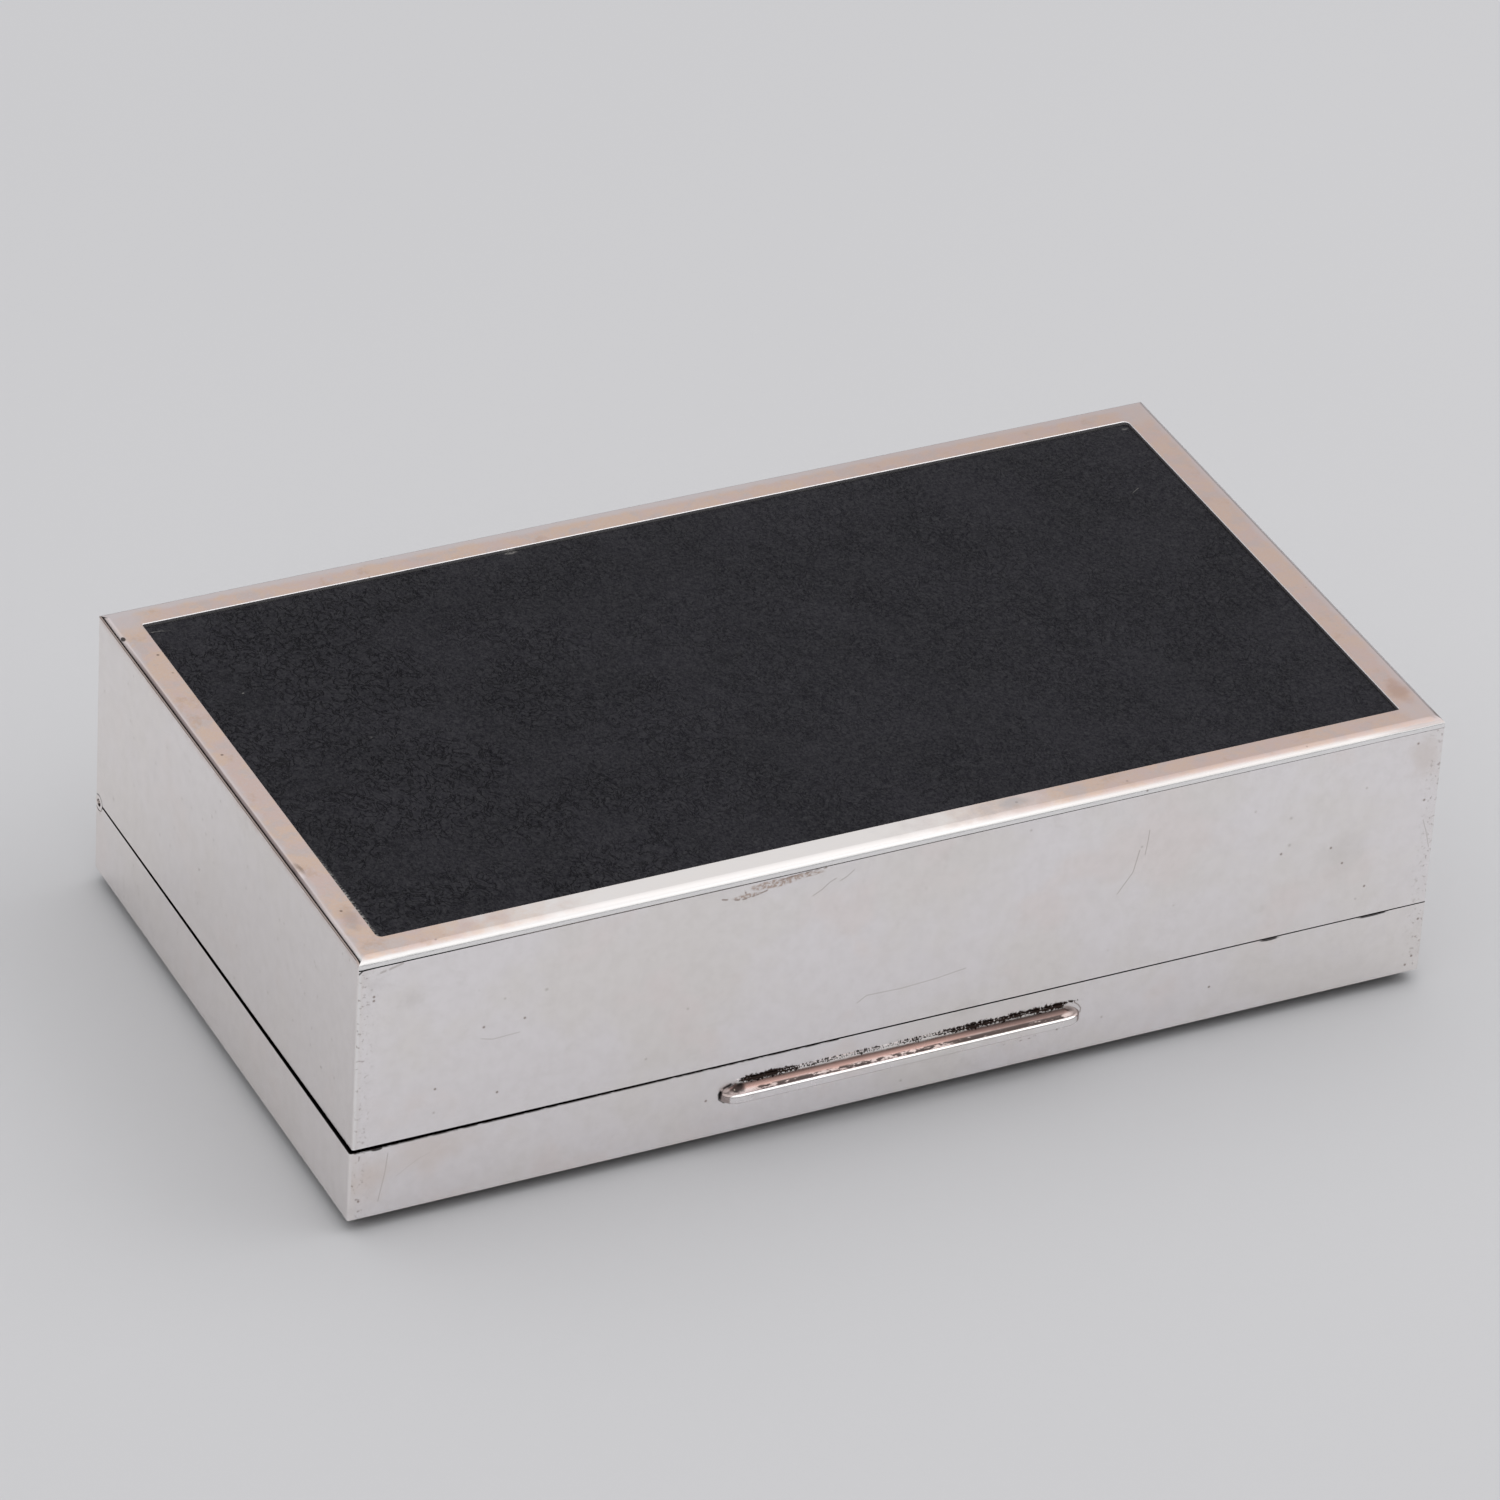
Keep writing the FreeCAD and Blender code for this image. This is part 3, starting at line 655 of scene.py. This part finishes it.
def leather_finish():
    """Black leather with a low sheen, painted shade darkening the creases, stronger at the left, and a few
    scuffs.
    """
    g = new_graph("leather")
    tone = g.ramp(g.noise(60.0, 4.0, 0.6), 0.35, 0.65)
    colour = g.mix(tone, LEATHER_DARK, LEATHER_LIGHT)
    tips = g.ramp(g.noise(1500.0, 3.0, 0.6), 0.52, 0.70, 0.0, 0.6)
    colour = g.mix(tips, colour, LEATHER_TIPS)
    folds = g.noise(420.0, 3.0, 0.55, g.stretched((1.0, 0.75, 1.0), turn=0.5), 1.2)
    folds = g.math("ABSOLUTE", g.math("SUBTRACT", folds, 0.5))
    here = g.ramp(g.noise(70.0, 2.0, 0.5), 0.38, 0.56, 0.35, 1.0)
    creased = g.both(g.ramp(folds, 0.035, 0.0), here)
    creased = g.both(creased, g.ramp(g.axis("X"), -70.0 * MM, 0.0, 0.9, 0.5))
    # Painted shade: the creases are painted darker, more so at the left
    colour = g.stain(colour, creased, 0.6, LEATHER_CREASE_SHADE)
    grain = g.noise(2100.0, 4.0, 0.65, g.stretched((1.0, 0.7, 1.0), turn=0.5), 0.8)
    sheen = g.ramp(grain, 0.34, 0.66, *LEATHER_SHEEN)
    sheen = g.math("MULTIPLY", sheen, g.ramp(creased, 0.0, 1.0, 1.0, 0.5))
    scuffs = [
        g.stroke([on_leather(-93.4, 48.2), on_leather(-91.8, 48.1), on_leather(-90.1, 47.8)], 0.4),
        g.stroke([on_leather(84.0, 29.0), on_leather(86.0, 30.3)], 0.28),
        g.spot(on_leather(-26.0, 49.8), (1.6, 0.5, 0.6), 0.6, 0.3),
        g.spot(on_leather(93.0, 49.0), (0.8, 0.5, 0.6), 0.6, 0.3),
        g.dots([on_leather(-86.1, 25.4), on_leather(-71.4, 5.4)], 0.3),
    ]
    worn = g.ramp(g.noise(1400.0, 4.0, 0.65), 0.38, 0.55, 0.2, 1.0)
    colour = g.stain(colour, g.both(g.most(scuffs), worn), 0.7, LEATHER_SCUFF)
    edge = g.ramp(g.axis("X"), -93.2 * MM, -94.0 * MM)
    reach = g.ramp(g.axis("Y"), -18.0 * MM, -36.0 * MM)
    fibres = g.ramp(g.noise(2600.0, 4.0, 0.7, g.stretched((0.35, 1.0, 1.0))), 0.46, 0.58)
    colour = g.stain(colour, g.both(g.both(edge, reach), fibres), 0.8, LEATHER_FIBRES)
    pebble = g.node(
        "ShaderNodeTexVoronoi",
        [("Vector", g.place), ("Scale", 1300.0)],
        feature="SMOOTH_F1",
    ).outputs["Distance"]
    fine = g.noise(2600.0, 3.0, 0.6)
    rough = g.ramp(g.noise(500.0, 3.0, 0.6), 0.3, 0.7, *LEATHER_ROUGH)
    normal = g.bump(pebble, PEBBLE_BUMP)
    normal = g.bump(grain, GRAIN_BUMP, normal=normal)
    normal = g.bump(g.math("SUBTRACT", 1.0, creased), CREASE_BUMP, normal=normal)
    normal = g.bump(fine, FINE_BUMP, normal=normal)
    return g.finish(colour=colour, rough=rough, specular=sheen, normal=normal)


def wood(name, light, dark, along):
    """Wood with its grain along the axis named: X or Y."""
    g = new_graph(name)
    stretch = (WOOD_STRETCH, 1.0, 1.0) if along == "X" else (1.0, WOOD_STRETCH, 1.0)
    at = g.stretched(stretch)
    rings = g.noise(260.0, 4.0, 0.55, at, 0.6)
    pores = g.noise(1800.0, 2.0, 0.5, at)
    colour = g.mix(g.ramp(rings, 0.35, 0.65), light, dark)
    colour = g.mix(g.ramp(pores, 0.58, 0.72, 0.0, 0.5), colour, dark)
    rough = g.ramp(rings, 0.3, 0.7, *WOOD_ROUGH)
    return g.finish(colour=colour, rough=rough, normal=g.bump(pores, PORE_BUMP))


def floor_finish():
    g = new_graph("floor")
    paper = g.noise(900.0, 3.0, 0.6)
    tone = g.ramp(g.noise(3.0, 2.0, 0.5), 0.3, 0.7)
    darker = tuple(FLOOR_FADE * c for c in FLOOR_COLOUR)
    colour = g.mix(tone, (*FLOOR_COLOUR, 1.0), (*darker, 1.0))
    normal = g.bump(paper, PAPER_BUMP)
    return g.finish(colour=colour, rough=FLOOR_ROUGH, specular=FLOOR_SHEEN, normal=normal)


def edge_lines(low, high, step):
    """Places of the leather's grid lines: close over the rounded edges, a step apart between them."""
    close = [0.0, 0.08, 0.25, 0.55, 1.0]
    start = [low + LEATHER_ROUND * c for c in close]
    end = [high - LEATHER_ROUND * c for c in reversed(close)]
    count = round((end[0] - start[-1]) / step)
    span = (end[0] - start[-1]) / count
    return start + [start[-1] + span * i for i in range(1, count)] + end


def rounded_drop(gap):
    """How far a rounded edge has fallen at this distance in from the side."""
    if gap >= LEATHER_ROUND:
        return 0.0
    inward = LEATHER_ROUND - gap
    return LEATHER_ROUND - math.sqrt(max(LEATHER_ROUND**2 - inward**2, 0.0))


def round_corner(x, y, low, high):
    """Draws a point of the leather's rectangle in towards the nearest corner's arc."""
    for (side_x, side_y), radius in LEATHER_CORNERS.items():
        corner_x = high.x if side_x > 0 else low.x
        corner_y = high.y if side_y > 0 else low.y
        centre_x = corner_x - side_x * radius
        centre_y = corner_y - side_y * radius
        out_x = (x - centre_x) * side_x
        out_y = (y - centre_y) * side_y
        if out_x > 0.0 and out_y > 0.0:
            share = max(out_x, out_y) / math.hypot(out_x, out_y)
            return centre_x + side_x * out_x * share, centre_y + side_y * out_y * share
    return x, y


def leather_grain(x, y):
    """Height of the leather's grain: rounded pebbles, and short creases between them."""
    place = Vector((x, y, 0.0))
    pebbles = noise.noise(place * 900.0) + 0.5 * noise.noise(place * 1500.0)
    bend_x = noise.noise(place * 160.0)
    bend_y = noise.noise(place * 160.0 + Vector((7.0, 3.0, 1.0)))
    warp = Vector((bend_x, bend_y, 0.0))
    fold = 1.0 - abs(noise.noise(place * 330.0 + warp * 1.6))
    crease = max(fold - 0.86, 0.0) / 0.14
    where = max(0.0, min(1.0, 0.5 + 1.6 * noise.noise(place * 45.0)))
    return GRAIN_HEIGHT * 0.5 * pebbles - CREASE_HEIGHT * crease * where


def make_leather():
    """A panel with rounded corners and edges and a fine grain, closed at its sides and below."""
    low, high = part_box("base_leather")
    xs = edge_lines(low.x, high.x, LEATHER_STEP)
    ys = edge_lines(low.y, high.y, LEATHER_STEP)
    vertices = []
    for y in ys:
        for x in xs:
            gap = min(x - low.x, high.x - x, y - low.y, high.y - y)
            fade = min(gap / (4.0 * LEATHER_ROUND), 1.0)
            height = high.z - LEATHER_SINK + fade * leather_grain(x, y)
            vertices.append((*round_corner(x, y, low, high), height - rounded_drop(gap)))
    wide, deep = len(xs), len(ys)
    faces = []
    for j in range(deep - 1):
        for i in range(wide - 1):
            a = j * wide + i
            faces.append((a, a + 1, a + 1 + wide, a + wide))
    ring = list(range(wide))
    ring += [j * wide + wide - 1 for j in range(1, deep)]
    ring += [(deep - 1) * wide + i for i in range(wide - 2, -1, -1)]
    ring += [j * wide for j in range(deep - 2, 0, -1)]
    base = len(vertices)
    vertices += [(vertices[v][0], vertices[v][1], low.z) for v in ring]
    count = len(ring)
    for i in range(count):
        j = (i + 1) % count
        faces.append((ring[j], ring[i], base + i, base + j))
    faces.append(tuple(base + i for i in reversed(range(count))))
    mesh = bpy.data.meshes.new("leather_panel")
    mesh.from_pydata(vertices, [], faces)
    mesh.validate()
    mesh.shade_smooth()
    made = bpy.data.objects.new("leather_panel", mesh)
    bpy.context.scene.collection.objects.link(made)
    mesh.materials.append(leather_finish())
    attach(made, "case")
    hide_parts("base_leather")


def dress(names, material):
    """Gives the CAD nodes one material in place of their own."""
    for name in names:
        slots = nodes[name].data.materials
        slots.clear()
        slots.append(material)


def make_floor():
    half = FLOOR_SIDE / 2.0
    mesh = bpy.data.meshes.new("floor")
    corners = [(-half, -half, 0.0), (half, -half, 0.0), (half, half, 0.0), (-half, half, 0.0)]
    mesh.from_pydata(corners, [], [(0, 1, 2, 3)])
    made = bpy.data.objects.new("floor", mesh)
    bpy.context.scene.collection.objects.link(made)
    mesh.materials.append(floor_finish())


def make_world():
    world = bpy.data.worlds.new("studio")
    bpy.context.scene.world = world
    g = Graph(world)
    strength = g.ramp(g.axis("Z", g.sky), 0.0, 1.0, SKY_HORIZON, SKY_ZENITH)
    for direction, inner, outer, gain in SKY_GLOWS:
        towards = tuple(Vector(direction).normalized())
        nearness = g.vector("DOT_PRODUCT", g.sky, towards, result="Value")
        start = math.cos(math.radians(outer))
        full = math.cos(math.radians(inner))
        glow = g.ramp(nearness, start, full, 0.0, gain)
        strength = g.math("ADD", strength, glow)
    background = g.tree.nodes["Background"]
    g.put(background.inputs["Strength"], strength)
    g.put(background.inputs["Color"], SKY_COLOUR)


def make_lamp(name, place, target, side, power):
    data = bpy.data.lights.new(name, "AREA")
    data.shape = "SQUARE"
    data.size = side
    data.energy = power
    lamp = bpy.data.objects.new(name, data)
    bpy.context.scene.collection.objects.link(lamp)
    lamp.location = place
    aim = Vector(target) - Vector(place)
    lamp.rotation_euler = aim.to_track_quat("-Z", "Y").to_euler()
    lamp.visible_camera = False


def make_camera():
    data = bpy.data.cameras.new("camera")
    data.sensor_width = SENSOR_MM
    data.lens = FOCAL_PX / IMAGE_PX * SENSOR_MM
    data.clip_start = CLIP_NEAR
    data.clip_end = CLIP_FAR
    azimuth, elevation, roll = map(math.radians, (AZIMUTH, ELEVATION, ROLL))
    forward = Vector(
        (
            math.sin(azimuth) * math.cos(elevation),
            math.cos(azimuth) * math.cos(elevation),
            -math.sin(elevation),
        )
    )
    level = forward.cross(Vector((0.0, 0.0, 1.0))).normalized()
    raised = level.cross(forward)
    right = level * math.cos(roll) + raised * math.sin(roll)
    up = right.cross(forward)
    turn = Matrix((right, up, -forward)).transposed().to_4x4()
    camera = bpy.data.objects.new("camera", data)
    bpy.context.scene.collection.objects.link(camera)
    camera.matrix_world = Matrix.Translation(EYE) @ turn
    bpy.context.scene.camera = camera


make_camera()
make_world()
make_lamp("key", KEY_PLACE, KEY_TARGET, KEY_SIDE, KEY_POWER)
make_floor()

rims = [n for n in nodes if n.startswith("base_rim")]
hinge = [n for n in nodes if "knuckle" in n or "bearer" in n] + ["hinge_pin"]
plain = ["case_back_wall", "case_right_wall", "lid_back_wall", "lid_right_wall", "lid_panel"]
dress(plain, silver("silver"))
dress(["case_front_wall"], silver("case_front_silver", case_front_marks))
dress(["lid_front_wall"], silver("lid_front_silver", lid_front_marks))
dress(["case_left_wall", "lid_left_wall"], silver("left_silver", left_marks))
dress(["thumb_piece"], thumb_silver())
dress(rims, rim_silver())
dress(hinge, silver("hinge_silver"))
long_boards = ["lining_front", "lining_back", "lining_floor"]
dress(long_boards, wood("cedar_long", CEDAR_LIGHT, CEDAR_DARK, "X"))
dress(["lining_left", "lining_right"], wood("cedar_short", CEDAR_LIGHT, CEDAR_DARK, "Y"))
dress(["base_board"], wood("board", BOARD_LIGHT, BOARD_DARK, "X"))
make_leather()

bpy.context.scene.view_settings.view_transform = "Standard"
